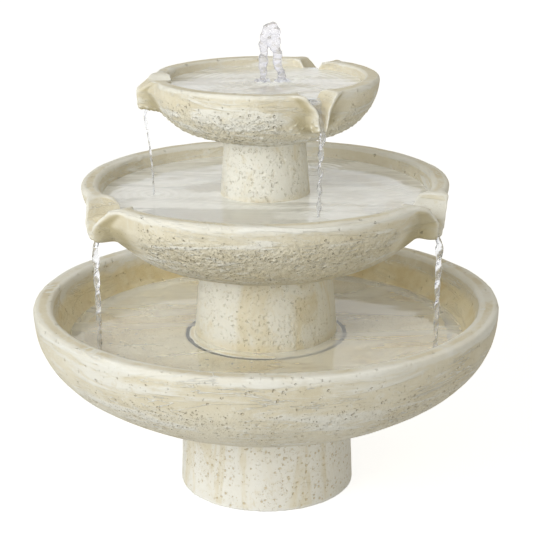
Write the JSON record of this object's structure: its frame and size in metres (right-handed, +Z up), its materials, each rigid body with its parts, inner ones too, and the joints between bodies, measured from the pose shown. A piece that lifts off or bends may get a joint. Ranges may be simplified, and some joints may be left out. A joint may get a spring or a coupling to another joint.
{
  "type": "tiered water fountain",
  "caption": "Three-tier garden fountain: round cast-stone bowls with pouring spouts on tapered pedestals, a hidden pump and water running from a centre jet.",
  "frame": {"origin": "centre of the foot ring, on the ground", "axes": "+Z up along the stack, -Y the side that is viewed, +X to the viewer's right"},
  "size_m": [0.9999, 1, 1.018],
  "materials": {
    "cast_stone": "matte",
    "setting_rubber": "matte",
    "stopper_rubber": "matte",
    "brass": "satin",
    "clamp_steel": "satin",
    "hose_vinyl": "gloss",
    "pump_plastic": "satin",
    "pump_resin": "gloss",
    "impeller_plastic": "satin",
    "ferrite": "satin",
    "shaft_ceramic": "satin",
    "water": "gloss"
  },
  "bodies": {
    "fountain": {"base_pedestal": "cast_stone", "base_setting_pads": "setting_rubber", "drain_stopper": "stopper_rubber", "hose_clamps": "clamp_steel", "lower_bowl": "cast_stone", "middle_bowl": "cast_stone", "middle_bowl_stopper": "stopper_rubber", "middle_foot_pads": "setting_rubber", "middle_pedestal": "cast_stone", "middle_setting_pads": "setting_rubber", "middle_stream_back": "water", "middle_stream_left": "water", "middle_stream_right": "water", "nozzle_locknut": "brass", "nozzle_stem": "brass", "nozzle_tip": "brass", "nozzle_washer": "stopper_rubber", "pump_chamber_seal": "stopper_rubber", "pump_cord_gland": "stopper_rubber", "pump_intake_cage": "pump_plastic", "pump_motor_housing": "pump_resin", "pump_outlet_adapter": "pump_plastic", "pump_shaft": "shaft_ceramic", "pump_shaft_bushes": "stopper_rubber", "pump_suction_feet": "stopper_rubber", "pump_volute_cover": "pump_plastic", "supply_hose": "hose_vinyl", "top_bowl": "cast_stone", "top_setting_pads": "setting_rubber", "top_stream_back_right": "water", "top_stream_front_right": "water", "top_stream_left": "water", "upper_foot_pads": "setting_rubber", "upper_pedestal": "cast_stone", "water_jet": "water"},
    "rotor": {"pump_rotor_magnet": "ferrite", "pump_impeller": "impeller_plastic"},
    "flow_dial": {"pump_flow_dial": "pump_plastic"}
  },
  "joints": [
    {"name": "impeller_spin", "type": "hinge", "parent": "fountain", "child": "rotor", "pos_m": [0, 0, 0.264], "axis": [0, -1, 0], "continuous": true},
    {"name": "flow_dial_turn", "type": "hinge", "parent": "fountain", "child": "flow_dial", "pos_m": [0, -0.06, 0.264], "axis": [0, -1, 0], "range_deg": [0, 60]}
  ]
}
